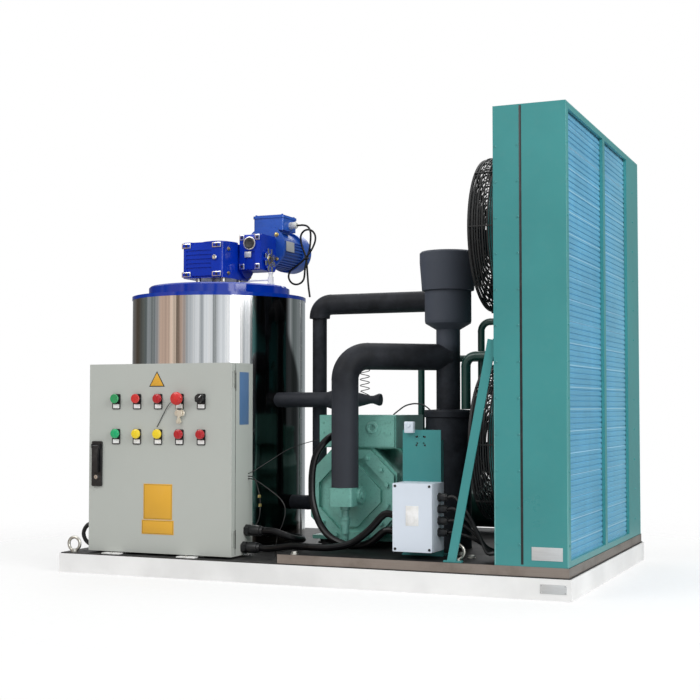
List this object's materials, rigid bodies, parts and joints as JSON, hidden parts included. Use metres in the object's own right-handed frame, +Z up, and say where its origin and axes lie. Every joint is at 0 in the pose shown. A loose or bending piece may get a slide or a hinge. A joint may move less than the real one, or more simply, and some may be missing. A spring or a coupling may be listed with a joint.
{
  "type": "flake ice machine",
  "caption": "Skid-mounted flake ice machine: insulated ice drum with a geared scraper drive, compressor, air-cooled condenser with guarded fans and a control cabinet.",
  "frame": {"origin": "centre of the skid's underside", "axes": "+X along the skid towards the condenser, +Y from the cabinet's side to the back, +Z up"},
  "size_m": [1.68, 1.08, 1.388],
  "materials": {
    "skid_white": "satin",
    "deck_black": "matte",
    "tray_sheet": "satin",
    "zinc": "satin",
    "stainless": "polished",
    "foam": "matte",
    "lid_blue": "gloss",
    "gear_blue": "gloss",
    "motor_blue": "gloss",
    "black_rubber": "matte",
    "fitting_white": "gloss",
    "cabinet_grey": "satin",
    "device_white": "satin",
    "black_plastic": "satin",
    "lens": "gloss",
    "signal_green": "gloss",
    "signal_red": "gloss",
    "compressor_green": "satin",
    "insulation_black": "matte",
    "pipe_green": "gloss",
    "case_teal": "satin",
    "fin_blue": "satin",
    "fan_black": "satin"
  },
  "bodies": {
    "machine": {"skid_frame": "skid_white", "deck_plate": "deck_black", "unit_tray": "tray_sheet", "lifting_eyes": "zinc", "drum_shell": "stainless", "drum_insulation": "foam", "evaporator_cylinder": "stainless", "drum_top_flange": "lid_blue", "drum_lid": "lid_blue", "bottom_spider": "stainless", "gearbox_pedestal": "zinc", "main_gearbox": "gear_blue", "input_gearbox": "gear_blue", "drive_motor": "motor_blue", "motor_fan_cowl": "motor_blue", "motor_terminal_box": "motor_blue", "motor_lead": "black_rubber", "water_inlet": "fitting_white", "cabinet_body": "cabinet_grey", "mounting_plate": "zinc", "control_gear": "device_white", "cable_glands": "black_plastic", "compressor_body": "compressor_green", "compressor_end_cover": "compressor_green", "compressor_terminal_box": "compressor_green", "compressor_feet": "black_rubber", "suction_valve": "compressor_green", "suction_line": "insulation_black", "suction_separator": "insulation_black", "evaporator_pipe": "insulation_black", "expansion_valve": "insulation_black", "discharge_pipes": "pipe_green", "liquid_receiver": "case_teal", "junction_post": "case_teal", "junction_box": "device_white", "power_conduits": "black_plastic", "junction_leads": "black_rubber", "condenser_coil": "fin_blue", "coil_case": "case_teal", "fan_plenum": "case_teal", "fan_guards": "fan_black", "condenser_brace": "case_teal"},
    "door": {"cabinet_door": "cabinet_grey", "latch_base": "black_plastic", "button_bezels": "black_plastic", "indicator_lamps": "lens"},
    "scraper": {"spindle": "stainless", "ice_blade": "stainless", "water_tray": "stainless", "squeegee": "black_rubber"},
    "handle": {"latch_handle": "black_plastic"},
    "key": {"key_cylinder": "zinc"},
    "start": {"start_button": "signal_green"},
    "stop": {"stop_button": "signal_red"},
    "estop": {"emergency_stop": "signal_red"},
    "selector": {"selector_knob": "black_plastic"},
    "fan_a": {"fan_upper_front": "fan_black"},
    "fan_b": {"fan_lower_front": "fan_black"},
    "fan_c": {"fan_upper_rear": "fan_black"},
    "fan_d": {"fan_lower_rear": "fan_black"}
  },
  "joints": [
    {"name": "door_hinge", "type": "hinge", "parent": "machine", "child": "door", "pos_m": [-0.2316, -0.4939, 0.37], "axis": [0, 0, 1], "range_deg": [0, 110]},
    {"name": "handle_lift", "type": "hinge", "parent": "door", "child": "handle", "pos_m": [-0.719, -0.516, 0.406], "axis": [-1, 0, 0], "range_deg": [0, 35]},
    {"name": "key_turn", "type": "hinge", "parent": "door", "child": "key", "pos_m": [-0.719, -0.505, 0.307], "axis": [0, 1, 0], "range_deg": [0, 90]},
    {"name": "start_press", "type": "slide", "parent": "door", "child": "start", "axis": [0, 1, 0], "range_m": [0, 0.004], "stiffness_N_per_m": 400},
    {"name": "stop_press", "type": "slide", "parent": "door", "child": "stop", "axis": [0, 1, 0], "range_m": [0, 0.004], "stiffness_N_per_m": 400},
    {"name": "estop_press", "type": "slide", "parent": "door", "child": "estop", "axis": [0, 1, 0], "range_m": [0, 0.005]},
    {"name": "selector_turn", "type": "hinge", "parent": "door", "child": "selector", "pos_m": [-0.3366, -0.505, 0.559], "axis": [0, 1, 0], "range_deg": [0, 90]},
    {"name": "scraper_spin", "type": "hinge", "parent": "machine", "child": "scraper", "pos_m": [-0.518, -0.06, 0.5], "axis": [0, 0, 1], "continuous": true},
    {"name": "fan_upper_front_spin", "type": "hinge", "parent": "machine", "child": "fan_a", "pos_m": [0.555, -0.267, 1.053], "axis": [1, 0, 0], "continuous": true},
    {"name": "fan_lower_front_spin", "type": "hinge", "parent": "machine", "child": "fan_b", "pos_m": [0.555, -0.267, 0.425], "axis": [1, 0, 0], "continuous": true},
    {"name": "fan_upper_rear_spin", "type": "hinge", "parent": "machine", "child": "fan_c", "pos_m": [0.555, 0.267, 1.053], "axis": [1, 0, 0], "continuous": true},
    {"name": "fan_lower_rear_spin", "type": "hinge", "parent": "machine", "child": "fan_d", "pos_m": [0.555, 0.267, 0.425], "axis": [1, 0, 0], "continuous": true}
  ]
}
